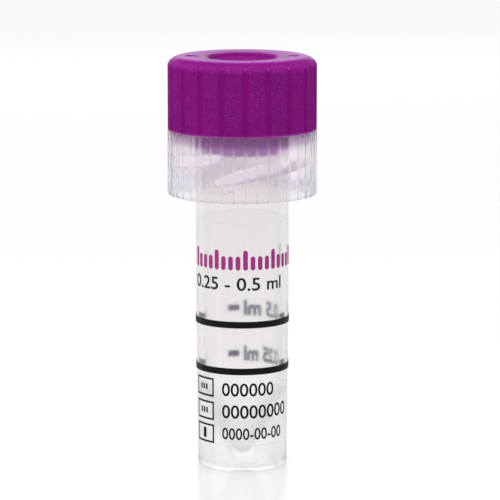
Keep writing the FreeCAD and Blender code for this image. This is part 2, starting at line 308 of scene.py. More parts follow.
# %% Short ways to place them
def rise(tree, low, high):
    """0 at one height and 1 at another, both in millimetres."""
    return use_group(tree, rise_group, Low=low * MM, High=high * MM).outputs["Share"]


def flow(tree, size, low=0.0, high=1.0):
    """A slow drift between two values, in clouds of a size in millimetres."""
    return use_group(tree, flow_group, Size=size * MM, Low=low, High=high).outputs["Value"]


def flecks(tree, spacing, radius):
    """A mask of sparse dots, both sizes in millimetres."""
    placed = use_group(tree, flecks_group, Spacing=spacing * MM, Radius=radius * MM)
    return placed.outputs["Mask"]


def add_ripple(tree, shader, size, stretch, deep):
    """Make a surface wavy. Size and depth are in millimetres."""
    waves = use_group(tree, ripple_group, Size=size * MM, Stretch=stretch)
    add_bump(tree, shader, waves.outputs["Height"], deep * MM)


# %% [markdown]
# ## Tube plastic
#
# The tube is polypropylene: a little milky and warm, and it blurs what lies behind it.
# Full transmission with a rough surface gives the blur. The roughness drifts a little,
# because the clouding of a real moulding isn't even.
#
# The refraction is set well below that of the real plastic. At its full value each wall
# bends light so far that the tube fills with dark streaks, which the milky haze of the
# real one washes out.
#
# Light crosses twice as many surfaces in the cone as in the straight bore, so one tint
# all over would make the cone too dark. The tint therefore fades towards the foot, where
# thick plastic also cools slowly and turns cloudier. The neck, shut in under the cap, is
# cloudier too, and its outer skin is painted a darker lilac: painted shade under the cap
# and a painted reflection of the cap's purple.

# %% Make the tube plastic
FOOT_TINT = (0.978, 0.972, 0.970, 1)
BORE_TINT = (0.928, 0.908, 0.903, 1)
# Painted shade and painted reflection of the purple cap, on the neck's outer skin.
NECK_SHADE_TINT = (0.85, 0.80, 0.82, 1)
EXTRA_CLOUD = 0.16

tube_plastic, tree, shader = new_material(
    "milky_plastic", Transmission_Weight=1.0, IOR=1.25)
bore = rise(tree, 7.0, 11.0)
neck = rise(tree, 29.5, 31.5)
tint = mix_colours(tree, bore, FOOT_TINT, BORE_TINT)
# Only the neck's outer skin gets the painted shade and reflection of the cap.
lilac = combine(tree, "MULTIPLY", neck, stored(tree, "outer_skin"))
tint = mix_colours(tree, lilac, tint, NECK_SHADE_TINT)
foot = combine(tree, "SUBTRACT", 1.0, bore)
cloudier = combine(tree, "MULTIPLY", combine(tree, "MAXIMUM", foot, neck), EXTRA_CLOUD)
rough = combine(tree, "ADD", flow(tree, 5, 0.17, 0.20), cloudier)
feed(tree, shader, Base_Color=tint, Roughness=rough)
add_ripple(tree, shader, size=2.5, stretch=3.0, deep=0.012)

# %% [markdown]
# ## Ramp plastic
#
# The ramps are the same plastic, but thick and solid, so they look like pale cream. They
# get a second material for their faces, paler than the wall's. Thick milky plastic
# scatters light inside and has hardly any shaded side; we can't afford real scattering
# here, so a faint even glow stands in for it. The undersides mirror the purple cap above
# them, which draws a thin lilac line below each ramp, so the material turns lilac where a
# surface faces down.

# %% Make the ramp plastic
CREAM = (1.0, 0.98, 0.965, 1)
PALE_CREAM = (1.0, 0.995, 0.985, 1)
UNDERSIDE = (0.60, 0.50, 0.68, 1)

ramp_plastic, tree, shader = new_material(
    "creamy_plastic", Transmission_Weight=1.0, IOR=1.06,
    Emission_Color=(1.0, 0.95, 0.90, 1), Emission_Strength=0.09)
cream = mix_colours(tree, flow(tree, 2), CREAM, PALE_CREAM)
below = graded(tree, axes(tree, "Normal")["Z"], From_Min=-0.3, From_Max=-0.8)
cream = mix_colours(tree, below, cream, UNDERSIDE)
feed(tree, shader, Base_Color=cream, Roughness=flow(tree, 2, 0.30, 0.40))

# %% [markdown]
# ## Label film
#
# The label is a clear film. A full glass shell here would add two more refracting
# surfaces with air between, and darken the tube, while the real film is glued on without
# air. So the film is mostly see-through by its alpha, and what is left of it is gloss.
# Its cut edges show as fine lines, and a few specks are caught under it.

# %% Make the label film
FILM_COLOUR = (0.93, 0.925, 0.935, 1)
SPECK_COLOUR = (0.20, 0.17, 0.16, 1)
EDGE_COLOUR = (0.55, 0.53, 0.56, 1)
EDGE_SOLID = 0.32
SPECK_SOLID = 0.45

label_film, tree, shader = new_material("clear_film", Roughness=0.16, IOR=1.45)
cut_edges = combine(tree, "MAXIMUM", rise(tree, 26.30, 26.38), rise(tree, 2.90, 2.82))
edges = combine(tree, "MULTIPLY", cut_edges, EDGE_SOLID)
specks = flecks(tree, 1.3, 0.06)
solid = combine(tree, "MAXIMUM", edges, combine(tree, "MULTIPLY", specks, SPECK_SOLID))
solid = combine(tree, "MAXIMUM", flow(tree, 6, 0.03, 0.05), solid)
colour = mix_colours(tree, specks, FILM_COLOUR, SPECK_COLOUR)
colour = mix_colours(tree, edges, colour, EDGE_COLOUR)
feed(tree, shader, Base_Color=colour, Alpha=solid)
add_ripple(tree, shader, size=3, stretch=2.0, deep=0.02)

# %% [markdown]
# ## Inks
#
# Printed ink is thin and nearly matt. Its edges look soft because the ink is a little
# uneven, so a fine grain changes the colour and the roughness together.


# %% Make the inks
def make_ink(name, dark, light):
    """A nearly matt ink that goes from a dark tone to a light one with its grain."""
    ink, tree, shader = new_material(name, Specular_IOR_Level=0.1)
    speckle = use_group(tree, grain_group, Size=0.1 * MM).outputs["Tips"]
    colour = mix_colours(tree, speckle, dark, light)
    feed(tree, shader, Base_Color=colour, Roughness=flow(tree, 1.5, 0.42, 0.58))
    return ink


black_ink = make_ink("printed_black", (0.004, 0.004, 0.004, 1), (0.010, 0.010, 0.009, 1))
magenta_ink = make_ink("printed_magenta", (0.34, 0.030, 0.215, 1), (0.46, 0.055, 0.32, 1))
blue_ink = make_ink("printed_slate_blue", (0.050, 0.090, 0.280, 1), (0.070, 0.120, 0.340, 1))

# %% [markdown]
# ## Shell plastic
#
# The cap's shell is opaque purple plastic. Its panels have a fine spark-eroded texture,
# and its grooves were cut smooth. The grain's bright tips are painted glints: a lighter
# purple stands in for light glittering a little on them. The mesh carries a value named
# "panel", 1 on the panels and 0 in the grooves, and the material reads it to decide
# where the grain and its painted glints show. Two more values work the same way:
# "groove_end" marks the upper ends of the grooves, which get a painted highlight, and
# "brow" marks the ring where the top starts to dip towards its hole, which gets a painted
# highlight.
#
# The shoulder is painted a lighter purple, painted light from above. The crown was
# polished in the mould, and it is painted bluer: a painted sheen. The thin lower edge gets
# a painted pink highlight. All round stands white, and seen along its surface even
# dull plastic mirrors that and turns chalky. So its mirror share is close to nothing.

# %% Choose the shell's colours
GROOVE_PURPLE = (0.196, 0.0048, 0.166, 1)
PANEL_PURPLE = (0.192, 0.0060, 0.166, 1)
# The shoulder's lighter purple is painted light from above.
SHOULDER_LIT_PURPLE = (0.275, 0.010, 0.240, 1)
# Painted glints: the lighter purples on the grain's tips stand in for light glittering on them.
PANEL_GLINT = (0.29, 0.032, 0.27, 1)
SHOULDER_GLINT = (0.42, 0.060, 0.38, 1)
# Painted sheen: the crown's bluer purple stands in for the bluish light it reflects.
CROWN_SHEEN_PURPLE = (0.185, 0.014, 0.215, 1)
# Painted highlight on the brow.
BROW_HIGHLIGHT = (0.38, 0.032, 0.39, 1)
# Painted highlight at the groove ends.
GROOVE_END_HIGHLIGHT = (0.42, 0.07, 0.42, 1)
# Painted pink highlight along the lower edge.
LOWER_EDGE_HIGHLIGHT = (0.42, 0.075, 0.385, 1)
SHOULDER_POLISH = 0.14
GRAIN_DEPTH = 0.03

# %% Make the shell plastic
shell_plastic, tree, shader = new_material(
    "grained_purple", Specular_IOR_Level=0.003, IOR=1.5)
panel = stored(tree, "panel")
grain = use_group(tree, grain_group, Size=0.11 * MM, Contrast=1.0)
shoulder = rise(tree, 42.1, 42.9)
body = mix_colours(tree, panel, GROOVE_PURPLE, PANEL_PURPLE)
# Painted light from above on the shoulder, and painted glints on the grain's tips.
body = mix_colours(tree, shoulder, body, SHOULDER_LIT_PURPLE)
glint = mix_colours(tree, shoulder, PANEL_GLINT, SHOULDER_GLINT)
tips = combine(tree, "MULTIPLY", panel, grain.outputs["Tips"])
body = mix_colours(tree, tips, body, glint)
# Painted sheen on the crown, and a painted highlight on the brow.
body = mix_colours(tree, rise(tree, 43.25, 43.39), body, CROWN_SHEEN_PURPLE)
body = mix_colours(tree, stored(tree, "brow"), body, BROW_HIGHLIGHT)
# Painted highlight at the groove ends, patchy.
end_highlight = combine(tree, "MULTIPLY", stored(tree, "groove_end"), flow(tree, 5, -0.3, 1.3))
body = mix_colours(tree, end_highlight, body, GROOVE_END_HIGHLIGHT)
# Painted pink highlight along the lower edge.
body = mix_colours(tree, rise(tree, 35.95, 35.72), body, LOWER_EDGE_HIGHLIGHT)
body = mix_colours(tree, 1.0, body, flow(tree, 3.5, 0.92, 1.08), blend="MULTIPLY")
dull = graded(tree, panel, To_Min=0.34, To_Max=0.5)
polish = combine(tree, "MULTIPLY", shoulder, SHOULDER_POLISH)
feed(tree, shader, Base_Color=body, Roughness=combine(tree, "SUBTRACT", dull, polish))
deep = combine(tree, "MULTIPLY", panel, grain.outputs["Height"])
add_bump(tree, shader, deep, GRAIN_DEPTH * MM)

# %% [markdown]
# ## Clear plastic
#
# The skirt is clear with a cold lilac tint, and it has a thin glossy skin. Where it steps
# in to the sleeve under the shell, the tint is painted deeper: painted shade under the
# shell and a painted reflection of its purple. Like the tube it refracts less than the real
# plastic would, so that its limbs stay pale.
#
# A little haze keeps it soft. Part of it is a small share of diffuse light, left over
# from a transmission just under one. The flutes are shallow, and at full clearness they
# would act as sharp lenses and break the view behind them into hard stripes. So the mesh
# carries a value named "flute", and the plastic is frosted where that is high: each flute
# then shows as one soft upright line of light.

# %% Make the clear plastic
SKIRT_TINT = (0.930, 0.902, 0.948, 1)
# Painted shade and reflection under the shell, where the skirt steps in to the sleeve.
SLEEVE_SHADE_TINT = (0.64, 0.49, 0.63, 1)
RIM_TINT = (0.84, 0.80, 0.85, 1)
FLUTE_FROST = 0.60

clear_plastic, tree, shader = new_material(
    "glassy_lilac", Transmission_Weight=0.92, IOR=1.24,
    Coat_Weight=0.3, Coat_Roughness=0.1, Coat_IOR=1.5)
# Deeper tint up the sleeve: painted shade and reflection under the shell.
tint = mix_colours(tree, rise(tree, 34.2, 35.0), SKIRT_TINT, SLEEVE_SHADE_TINT)
tint = mix_colours(tree, rise(tree, 29.25, 28.95), tint, RIM_TINT)
frost = combine(tree, "MULTIPLY", stored(tree, "flute"), FLUTE_FROST)
rough = combine(tree, "ADD", flow(tree, 3, 0.21, 0.24), frost)
feed(tree, shader, Base_Color=tint, Roughness=rough)
add_ripple(tree, shader, size=0.6, stretch=40.0, deep=0.06)

# %% [markdown]
# ## The lugs' plastic
#
# The lugs are one moulding with the skirt. Where they are thick, the real plastic glows
# softly and their outlines all but vanish. As sharp little prisms they would show as dark
# blocks instead. A copy of the skirt's plastic that hardly refracts, and has no glossy
# skin, keeps their shape with only a faint edge.

# %% Make the lugs' plastic
lug_plastic = clear_plastic.copy()
lug_plastic.name = "soft_lilac"
tree = lug_plastic.node_tree
feed(tree, tree.nodes["Principled BSDF"], IOR=1.05, Coat_Weight=0.0)
print("material:", lug_plastic.name)

# %% [markdown]
# ## Stopper rubber
#
# The stopper is soft rubber in a redder purple, with no mirror share at all, since it
# stands deep in the cap's hole. Rubber holds dust, so a few pale specks lie on it. Its
# plug is painted paler and bluer than the hub: painted light, for how the milky tube
# lightens it.

# %% Make the rubber
HUB_DARK = (0.24, 0.010, 0.22, 1)
HUB_LIGHT = (0.29, 0.014, 0.25, 1)
DUST = (0.62, 0.20, 0.45, 1)
# Painted light: the plug's paler, bluer purple.
PLUG_LIT_PURPLE = (0.70, 0.115, 0.86, 1)

stopper_rubber, tree, shader = new_material("purple_rubber", Specular_IOR_Level=0.0)
hub = mix_colours(tree, flow(tree, 1.5), HUB_DARK, HUB_LIGHT)
hub = mix_colours(tree, flecks(tree, 0.35, 0.05), hub, DUST)
# Painted light: the plug below is painted paler than the hub above.
rubber = mix_colours(tree, rise(tree, 40.0, 41.5), PLUG_LIT_PURPLE, hub)
feed(tree, shader, Base_Color=rubber, Roughness=flow(tree, 1, 0.75, 0.9))
print("materials so far:", len(bpy.data.materials))

# %% [markdown]
# ## Turned shapes
#
# Every main piece is a turned shape: a closed section spun round the upright axis. We
# give the section in millimetres, as points of (radius, height), and build the mesh with
# far more steps than a construction model needs, because facets show through clear
# walls. A carve function may change the radius at each angle, for flutes and grooves.


# %% Section helpers
def arc(across, up, radius, start, finish, steps=8):
    """Points on an arc of a section. Angles are degrees up from the outward direction."""
    turns = np.radians(np.linspace(start, finish, steps + 1))
    return [(across + radius * math.cos(t), up + radius * math.sin(t)) for t in turns]


def steps_between(first, last, count):
    """Points on a straight run of a section, without its last point."""
    shares = np.arange(count) / count
    return [(first[0] + (last[0] - first[0]) * s, first[1] + (last[1] - first[1]) * s)
            for s in shares]


# %% Finish a mesh
CRISP = 35


def shade(mesh, crisp):
    """Shade smooth, with a crisp edge where faces meet at more than an angle."""
    mesh.shade_smooth()
    mesh.set_sharp_from_angle(angle=math.radians(crisp))


def finish_mesh(name, mesh, crisp=CRISP):
    """Weld a mesh, face it outwards, shade it and make it an object."""
    builder = bmesh.new()
    builder.from_mesh(mesh)
    bmesh.ops.remove_doubles(builder, verts=builder.verts, dist=1e-8)
    bmesh.ops.recalc_face_normals(builder, faces=builder.faces)
    builder.to_mesh(mesh)
    builder.free()
    shade(mesh, crisp)
    piece = bpy.data.objects.new(name, mesh)
    scene.collection.objects.link(piece)
    print("built", name, "with", len(mesh.polygons), "faces")
    return piece


# %% Sweep a section
def swept(name, stations, closed, crisp=CRISP):
    """Skin a closed section that is placed at stations, given as points in millimetres."""
    count, size = stations.shape[:2]
    faces = []
    for k in range(count if closed else count - 1):
        here, there = k * size, (k + 1) % count * size
        for i in range(size):
            j = (i + 1) % size
            faces.append((here + i, there + i, there + j, here + j))
    if not closed:
        faces.append(list(range(size)))
        faces.append([(count - 1) * size + i for i in reversed(range(size))])
    mesh = bpy.data.meshes.new(name)
    mesh.from_pydata((stations.reshape(-1, 3) * MM).tolist(), [], faces)
    return finish_mesh(name, mesh, crisp)


def turned(name, section, around=256, carve=None, start=0.0, sweep=360.0, crisp=CRISP):
    """Spin a closed section about the upright axis, all the way or part of it."""
    angles = start + np.linspace(0, sweep, around, endpoint=sweep < 360)
    turns = np.radians(angles)
    rings = []
    for radius, height in section:
        radii = carve(angles, radius, height) if carve else np.full(around, float(radius))
        rings.append(np.stack([radii * np.cos(turns), radii * np.sin(turns),
                               np.full(around, float(height))], axis=1))
    return swept(name, np.stack(rings, axis=1), sweep >= 360, crisp)


# %% Join or cut solids
def merged(base, parts, operation="UNION", crisp=CRISP):
    """Unite solids with the first one, or cut them out of it, into one clean skin."""
    for part in parts:
        step = base.modifiers.new(part.name, "BOOLEAN")
        step.operation = operation
        step.solver = "MANIFOLD"
        step.object = part
    evaluated = base.evaluated_get(bpy.context.evaluated_depsgraph_get())
    mesh = bpy.data.meshes.new_from_object(evaluated)
    base.modifiers.clear()
    base.data = mesh
    for part in parts:
        bpy.data.objects.remove(part)
    shade(mesh, crisp)
    print(base.name, operation.lower(), len(parts), "solids, faces:", len(mesh.polygons))
    return base


# %% Read a piece, mark it and dress it
def places_of(piece):
    """The angle, radius and height of each of a piece's points, in degrees and millimetres."""
    flat = np.zeros(len(piece.data.vertices) * 3)
    piece.data.vertices.foreach_get("co", flat)
    across, deep, up = flat.reshape(-1, 3).T / MM
    return np.degrees(np.arctan2(deep, across)), np.hypot(across, deep), up


def store(piece, label, values):
    """Keep one value for each point, under a name that a material can read."""
    layer = piece.data.attributes.new(label, "FLOAT", "POINT")
    layer.data.foreach_set("value", values.astype(np.float32))
    print(piece.name, label, "on a share of", round(float(values.mean()), 3))


def dress(piece, body, material, stands_for=()):
    """Give a piece its material, its body and its place in the frame."""
    piece.data.materials.clear()
    piece.data.materials.append(material)
    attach(piece, body)
    if stands_for:
        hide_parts(*stands_for)
    print("dressed", piece.name, "in", material.name)
    return piece


def second_finish(piece, material, belongs):
    """Give another material to the faces whose middle passes a test of radius and height."""
    piece.data.materials.append(material)
    for face in piece.data.polygons:
        x, y, z = face.center / MM
        face.material_index = int(belongs(math.hypot(x, y), z))
    count = sum(face.material_index for face in piece.data.polygons)
    print(piece.name, "faces in", material.name + ":", count)


def box_mm(node):
    """The lowest and highest corner of a part of the frame, in millimetres."""
    low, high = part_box(node)
    return low / MM, high / MM


# %% [markdown]
# ## Climbing ridges
#
# Three ramps climb round the tube's neck, and three lugs under them hold the cap. Each
# is the same kind of shape: a small section carried up a helix. The section has tiny
# bevels, so that its edges catch light. A ridge's low tip is thin and grows to full
# thickness, both tips are rounded in plan, and the underside of a ramp's high tip is cut
# away as a lead-in.

# %% Climbing ridge helper
TIP_RUN = 2.4
TIP_CURVE = 1.5
TIP_ROUND = 0.5
HIGH_TIP_SHARE = 0.6


def thinned(distance):
    """1 at a ridge's tip, falling to 0 where the ridge has its full thickness."""
    return max(0.0, 1 - distance / TIP_RUN) ** TIP_CURVE


def ridge(name, root, reach, low, thick, lead, start, sweep, steps,
          lead_in=0.0, tip=1.0, bevel=0.1):
    """A ridge from its root out to its reach that rises by lead in a whole turn."""
    side = 1 if reach > root else -1
    rows = []
    for share in np.linspace(0, 1, steps + 1):
        turn = math.radians(start + sweep * share)
        rise_here = low + lead * sweep * share / 360
        gone = share * math.radians(sweep) * reach
        left = (1 - share) * math.radians(sweep) * reach
        under = rise_here + max(0.0, lead_in - left)
        thin_start = (1 - tip) * thick * thinned(gone)
        thin_end = (1 - tip) * thick * HIGH_TIP_SHARE * thinned(left)
        high = rise_here + thick - thin_start - thin_end
        short = 1 - min(1.0, min(gone, left) / TIP_ROUND)
        edge = reach - side * TIP_ROUND * (1 - math.sqrt(1 - short ** 2))
        section = [(root, under), (edge - side * bevel, under), (edge, under + bevel),
                   (edge, high - bevel), (edge - side * bevel, high), (root, high)]
        rows.append([(r * math.cos(turn), r * math.sin(turn), z) for r, z in section])
    return swept(name, np.array(rows), closed=False)


# %% [markdown]
# ## The tube
#
# The tube is one moulding. Its bore ends in a cone, and below the cone the outer wall
# goes on down as a hollow ring to stand on. From the front that hollow ring shows as a
# bright lens shape at the foot. The three ramps are merged into the wall, since two
# overlapping clear solids would show a false surface between them.

# %% Measure the tube
RIM_HEIGHT = box_mm("tube")[1].z
RIM_EDGE = 0.08
TUBE_RADIUS = 4.86
FOOT_RADIUS = 4.70
DRAFT_TOP = 17.5
NECK_LOW = 27.0
NECK_RADIUS = 4.90
TUBE_WALL = 0.83
TUBE_BORE = TUBE_RADIUS - TUBE_WALL
MOUTH_BEVEL = 0.35
FOOT_BORE = 3.5
FOOT_EDGE = 0.4
FOOT_LIP = 0.3
print("bore:", round(TUBE_BORE, 2), "rim height:", round(RIM_HEIGHT, 2))

# %% Shape the cone
CONE_TOP = 8.35
CONE_TOP_ROUND = ((0.0, 0.25), (-0.06, -0.12))
CONE_TIP_HEIGHT = 1.5
CONE_TIP_RADIUS = 0.5
CONE_TIP_ROUND = ((0.08, 0.1), (-0.15, 0.0))
TIP_WALL = 0.8

cone_slope = math.atan((TUBE_BORE - CONE_TIP_RADIUS) / (CONE_TOP - CONE_TIP_HEIGHT))
cone_drop = TUBE_WALL / math.sin(cone_slope)
cone_meets_foot = CONE_TOP - (TUBE_BORE - FOOT_BORE) / math.tan(cone_slope) - cone_drop
outer_tip = CONE_TIP_RADIUS + (cone_drop - TIP_WALL) * math.tan(cone_slope)
inner_cone = [(TUBE_BORE + across, CONE_TOP + up) for across, up in CONE_TOP_ROUND]
inner_cone += [(CONE_TIP_RADIUS + across, CONE_TIP_HEIGHT + up)
               for across, up in CONE_TIP_ROUND]
print("the cone meets the foot at", round(cone_meets_foot, 2))

# %% Build the tube
RAMP_COUNT = 3
RAMP_START = 5.0
RAMP_LOW = 30.5
RAMP_LEAD = 6.9
RAMP_THICK = 1.15
RAMP_REACH = 6.99

tube_section = (
    arc(FOOT_BORE + FOOT_LIP, FOOT_LIP, FOOT_LIP, 180, 270, 6)
    + arc(FOOT_RADIUS - FOOT_EDGE, FOOT_EDGE, FOOT_EDGE, -90, 0, 8)
    + [(TUBE_RADIUS, DRAFT_TOP), (TUBE_RADIUS, NECK_LOW), (NECK_RADIUS, RIM_HEIGHT - RIM_EDGE),
       (NECK_RADIUS - RIM_EDGE, RIM_HEIGHT), (TUBE_BORE + MOUTH_BEVEL, RIM_HEIGHT),
       (TUBE_BORE, RIM_HEIGHT - MOUTH_BEVEL)]
    + inner_cone
    + [(0, CONE_TIP_HEIGHT), (0, CONE_TIP_HEIGHT - TIP_WALL)]
    + [(outer_tip, CONE_TIP_HEIGHT - TIP_WALL), (FOOT_BORE, cone_meets_foot)]
)
tube = turned("tube_moulding", tube_section, around=288)
ramps = [
    ridge(f"ramp_{n + 1}", TUBE_RADIUS - TUBE_WALL / 2, RAMP_REACH, RAMP_LOW, RAMP_THICK,
          RAMP_LEAD, RAMP_START + n * 360 / RAMP_COUNT, 360 / RAMP_COUNT, steps=120,
          lead_in=0.4, tip=0.5)
    for n in range(RAMP_COUNT)
]
merged(tube, ramps)
dress(tube, "tube", tube_plastic, ["tube"])

# %% [markdown]
# Two things are left for the materials. The faces that stand out from the neck are the
# ramps and get their creamy plastic. The points on the wall's outer skin get a value, so
# that the painted lilac shade at the neck tints one side of the wall and not both.

# %% Finish the ramps and mark the outer skin
RAMP_CLEAR = 0.05
SKIN_DEPTH = 0.1

second_finish(tube, ramp_plastic, lambda radius, height: radius > NECK_RADIUS + RAMP_CLEAR)
angles, radii, heights = places_of(tube)
store(tube, "outer_skin", radii > TUBE_RADIUS - SKIN_DEPTH)

# %% [markdown]
# ## The label and its fill lines
#
# The label is a film wrapped once round the tube, with a narrow open seam at the back.
# It follows the tube's slight taper. The two fill lines are printed bands of ink that
# stop short of the seam.

# %% Build the label
label_low, label_high = box_mm("label_film")
LABEL_OUTER = 4.925
LABEL_THICK = 0.055
SEAM_ANGLE = -145.0
SEAM_WIDTH = 4.0
FRONT = -90.0
TAPER = (TUBE_RADIUS - FOOT_RADIUS) / DRAFT_TOP


def label_radius(height):
    """Outside of the label at a height in millimetres."""
    return LABEL_OUTER - TAPER * np.maximum(0, DRAFT_TOP - height)


film_heights = (label_low.z, DRAFT_TOP, label_high.z)
film_section = [(label_radius(z) - LABEL_THICK, z) for z in reversed(film_heights)]
film_section += [(label_radius(z), z) for z in film_heights]
label = turned("wrapped_label", film_section, around=256,
               start=FRONT + SEAM_ANGLE + SEAM_WIDTH / 2, sweep=360 - SEAM_WIDTH)
dress(label, "tube", label_film, ["label_film"])


# %% Build the fill lines
INK_LIFT = 0.006
INK_THICK = 0.014
LINE_START = -108.0
LINE_END = 98.0


def fill_line(name, node):
    """A band of ink as high as the frame's own, lying on the label."""
    low, high = box_mm(node)
    inner = [(label_radius(z) + INK_LIFT, z) for z in (high.z, low.z)]
    outer = [(label_radius(z) + INK_LIFT + INK_THICK, z) for z in (low.z, high.z)]
    line = turned(name, inner + outer, around=200, start=FRONT + LINE_START,
                  sweep=LINE_END - LINE_START)
    return dress(line, "tube", black_ink, [node])


fill_line("upper_fill_line", "fill_line_upper")
fill_line("lower_fill_line", "fill_line_lower")

# %% [markdown]
# ## The rest of the print
#
# The label's other print is plain and generic: a row of magenta bars, the volume between
# the two lines, three outlined symbols with rows of noughts beside them, and the volume
# of each line at the back, which shows blurred through the tube.
#
# We draw each mark flat, in millimetres along the label and up it, as a thin slab. Then
# we slice the slab into narrow strips, so that it can bend, and roll it onto the label.
# Print made this way keeps sharp edges at any zoom and needs no picture.


# %% Flat marks
def slab(outlines):
    """Flat shapes, each a list of corners, raised into one thin slab of unit thickness."""
    builder = bmesh.new()
    posts = {}
    for spot in [spot for outline in outlines for spot in outline]:
        if spot not in posts:
            posts[spot] = [builder.verts.new((*spot, lift)) for lift in (0, 1)]
    for outline in outlines:
        for level in (0, 1):
            builder.faces.new([posts[spot][level] for spot in outline])
    # Where two shapes share a side, they are one solid and need no wall between them.
    sides = [(outline[k - 1], outline[k]) for outline in outlines for k in range(len(outline))]
    for first, last in sides:
        if (last, first) not in sides:
            builder.faces.new(posts[first] + posts[last][::-1])
    return builder


def bar(left, low, wide, high, corner=0.0):
    """A bar with rounded corners."""
    if corner == 0:
        return [(left, low), (left + wide, low), (left + wide, low + high), (left, low + high)]
    outline = []
    centres = [(left + wide - corner, low + high - corner), (left + corner, low + high - corner),
               (left + corner, low + corner), (left + wide - corner, low + corner)]
    for quarter, (x, z) in enumerate(centres):
        outline += arc(x, z, corner, quarter * 90, quarter * 90 + 90, 5)
    return outline


def frame_bars(left, low, wide, high, line):
    """The four mitred sides of an outlined box."""
    outer = bar(left, low, wide, high)
    inner = bar(left + line, low + line, wide - 2 * line, high - 2 * line)
    return [[outer[k], outer[(k + 1) % 4], inner[(k + 1) % 4], inner[k]] for k in range(4)]


def words(text, left, low, wide, high, weight=0.012):
    """Upright lettering that just fills a box, as a slab of unit thickness."""
    curve = bpy.data.curves.new("words", "FONT")
    curve.body = text
    curve.extrude = 0.5
    curve.offset = weight
    curve.resolution_u = 4  # steps in each curve of a letter
    holder = bpy.data.objects.new("words", curve)
    scene.collection.objects.link(holder)
    mesh = holder.evaluated_get(bpy.context.evaluated_depsgraph_get()).to_mesh()
    builder = bmesh.new()
    builder.from_mesh(mesh)
    bpy.data.objects.remove(holder)
    spots = np.array([v.co for v in builder.verts])
    first, last = spots.min(axis=0), spots.max(axis=0)
    for vertex in builder.verts:
        share = [(vertex.co[k] - first[k]) / (last[k] - first[k]) for k in range(3)]
        vertex.co = (left + share[0] * wide, low + share[1] * high, share[2])
    bmesh.ops.remove_doubles(builder, verts=builder.verts, dist=1e-5)
    return builder


# %% Roll marks onto the label
STRIP = 0.2


def rolled(name, ink, builders):
    """Slice flat slabs into strips, roll them round the label and dress them as print."""
    mesh = bpy.data.meshes.new(name)
    whole = bmesh.new()
    for builder in builders:
        places = [v.co.x for v in builder.verts]
        for cut in np.arange(min(places) + STRIP, max(places), STRIP):
            geometry = builder.verts[:] + builder.edges[:] + builder.faces[:]
            bmesh.ops.bisect_plane(builder, geom=geometry, dist=1e-6,
                                   plane_co=(cut, 0, 0), plane_no=(1, 0, 0))
        builder.to_mesh(mesh)
        whole.from_mesh(mesh)
        builder.free()
    for vertex in whole.verts:
        along, height, lift = vertex.co
        radius = label_radius(height) + INK_LIFT + INK_THICK * lift
        turn = math.radians(FRONT) + along / LABEL_OUTER
        vertex.co = (radius * math.cos(turn) * MM, radius * math.sin(turn) * MM, height * MM)
    whole.to_mesh(mesh)
    whole.free()
    return dress(finish_mesh(name, mesh), "tube", ink)


def along_label(degrees):
    """Distance along the label, in millimetres, of a place given in degrees from the front."""
    return math.radians(degrees) * LABEL_OUTER


# %% Print the magenta bars
BAND_LOW = 21.5
BAND_HIGH = 23.6
PRINT_LEFT = along_label(-72)
BAR_COUNT = 17
BAR_WIDE = 0.50
BAR_ROUND = BAR_WIDE / 2.01
BAR_PITCH = (along_label(80) - PRINT_LEFT - BAR_WIDE) / (BAR_COUNT - 1)
TALL_EVERY = 4
SHORT_SHARE = 0.7

magenta_bars = []
for n in range(BAR_COUNT):
    high = (BAND_HIGH - BAND_LOW) * (1.0 if n % TALL_EVERY == 0 else SHORT_SHARE)
    magenta_bars.append(bar(PRINT_LEFT + n * BAR_PITCH, BAND_LOW, BAR_WIDE, high, BAR_ROUND))
rolled("magenta_bars", magenta_ink, [slab(magenta_bars)])

# %% Print the volume and the rows of noughts
VOLUME_LOW = 19.35
VOLUME_HIGH = 1.38
ROWS_LEFT = along_label(-26)
# Each row: lettering, lower edge, right end in degrees, height.
ROWS = (
    ("000000", 8.09, 42, 1.43),
    ("00000000", 5.72, 66, 1.45),
    ("0000-00-00", 3.45, 56, 1.26),
)
rolled("volume_line", black_ink, [
    words("0.25 - 0.5 ml", PRINT_LEFT, VOLUME_LOW, along_label(54) - PRINT_LEFT, VOLUME_HIGH)])
rolled("number_rows", black_ink, [
    words(text, ROWS_LEFT, low, along_label(right) - ROWS_LEFT, high)
    for text, low, right, high in ROWS])

# %% Print the three boxed symbols
BOX_WIDE = along_label(-38) - PRINT_LEFT
BOX_HIGH = 2.0
BOX_LINE = 0.2
BOX_LOWS = (7.86, 5.35, 2.9)
TICK_LEFT, TICK_LOW = 0.85, 0.7
TICK_WIDE, TICK_HIGH = 0.26, 0.6
TICK_PITCH = 0.45
POST_LEFT, POST_LOW = 1.25, 0.45
POST_WIDE, POST_HIGH = 0.5, 1.1
POST_ROUND = 0.12

boxes = []
for box_low in BOX_LOWS:
    boxes += frame_bars(PRINT_LEFT, box_low, BOX_WIDE, BOX_HIGH, BOX_LINE)
for box_low in BOX_LOWS[:2]:
    for n in range(3):
        boxes.append(bar(PRINT_LEFT + TICK_LEFT + TICK_PITCH * n, box_low + TICK_LOW,
                         TICK_WIDE, TICK_HIGH))
boxes.append(bar(PRINT_LEFT + POST_LEFT, BOX_LOWS[2] + POST_LOW, POST_WIDE, POST_HIGH,
                 POST_ROUND))
rolled("boxed_symbols", black_ink, [slab(boxes)])

# %% Print the volumes at the back
BACK_LEFT = along_label(114)
BACK_WIDE = along_label(178) - BACK_LEFT
BACK_HIGH = 1.7
BACK_WEIGHT = 0.04
DASH_LEFT = along_label(184)
DASH_WIDE = along_label(200) - DASH_LEFT
DASH_HIGH = 0.64


